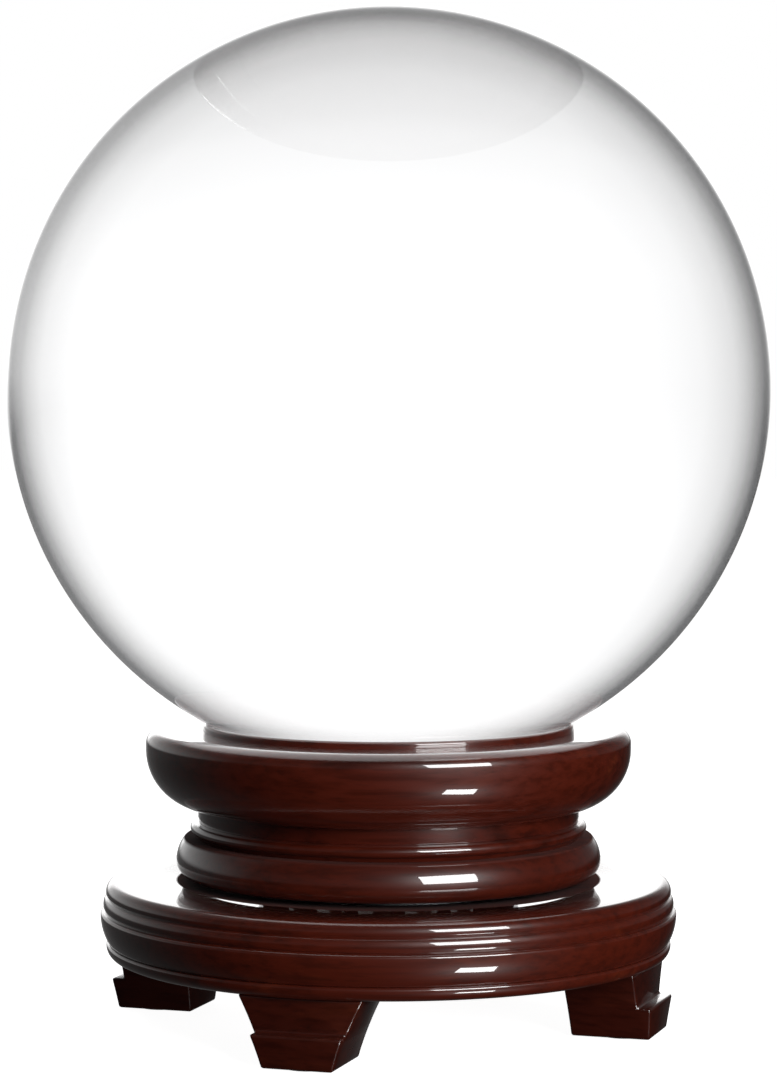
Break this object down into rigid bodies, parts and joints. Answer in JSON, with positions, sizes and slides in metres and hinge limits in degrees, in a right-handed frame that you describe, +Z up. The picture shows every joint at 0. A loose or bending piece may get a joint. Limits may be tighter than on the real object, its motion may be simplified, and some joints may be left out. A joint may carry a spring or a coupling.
{
  "type": "crystal ball on swivel stand",
  "caption": "Clear solid glass ball resting in a turned, glossy dark red wooden dish that turns on a footed round base.",
  "frame": {"origin": "centre of the stand's footprint on the table, at the underside of the rubber pads", "axes": "+Z up along the ball's and turntable's axis; the front foot points to -Y and the right foot to +X"},
  "size_m": [0.2, 0.2, 0.2672],
  "materials": {
    "clear_glass": "polished, clear, colourless",
    "lacquered_wood": "dark reddish brown close-grained wood under high-gloss lacquer",
    "dowel_wood": "bare pale hardwood",
    "pad_rubber": "thin matt black rubber",
    "plated_steel": "bright zinc plated",
    "bearing_steel": "polished hardened steel",
    "nylon": "natural nylon"
  },
  "bodies": {
    "base": {"base_disc": "lacquered_wood", "foot_right": "lacquered_wood", "foot_back": "lacquered_wood", "foot_left": "lacquered_wood", "foot_front": "lacquered_wood", "foot_dowels": "dowel_wood", "foot_pad_right": "pad_rubber", "foot_pad_back": "pad_rubber", "foot_pad_left": "pad_rubber", "foot_pad_front": "pad_rubber", "bearing_bottom_plate": "plated_steel", "bottom_plate_screws": "plated_steel", "pivot_bolt": "plated_steel", "pivot_washer": "plated_steel", "pivot_nut": "plated_steel"},
    "bearing_race": {"bearing_cage": "nylon", "bearing_balls": "bearing_steel"},
    "turntable": {"turntable_drum": "lacquered_wood", "neck_ring": "lacquered_wood", "cradle_dish": "lacquered_wood", "seat_ring": "lacquered_wood", "dish_screws": "plated_steel", "bearing_top_plate": "plated_steel", "top_plate_screws": "plated_steel"},
    "ball": {"crystal_ball": "clear_glass"}
  },
  "joints": [
    {"name": "turntable_swivel", "type": "hinge", "parent": "base", "child": "turntable", "pos_m": [0, 0, 0.0388], "axis": [0, 0, 1], "continuous": true},
    {"name": "race_roll", "type": "hinge", "parent": "base", "child": "bearing_race", "pos_m": [0, 0, 0.0388], "axis": [0, 0, 1], "continuous": true},
    {"name": "ball_lift", "type": "slide", "parent": "turntable", "child": "ball", "axis": [0, 0, 1], "range_m": [0, 0.08]}
  ],
  "couplings": [
    {"joint": "race_roll", "follows": "turntable_swivel", "ratio": 0.5}
  ]
}
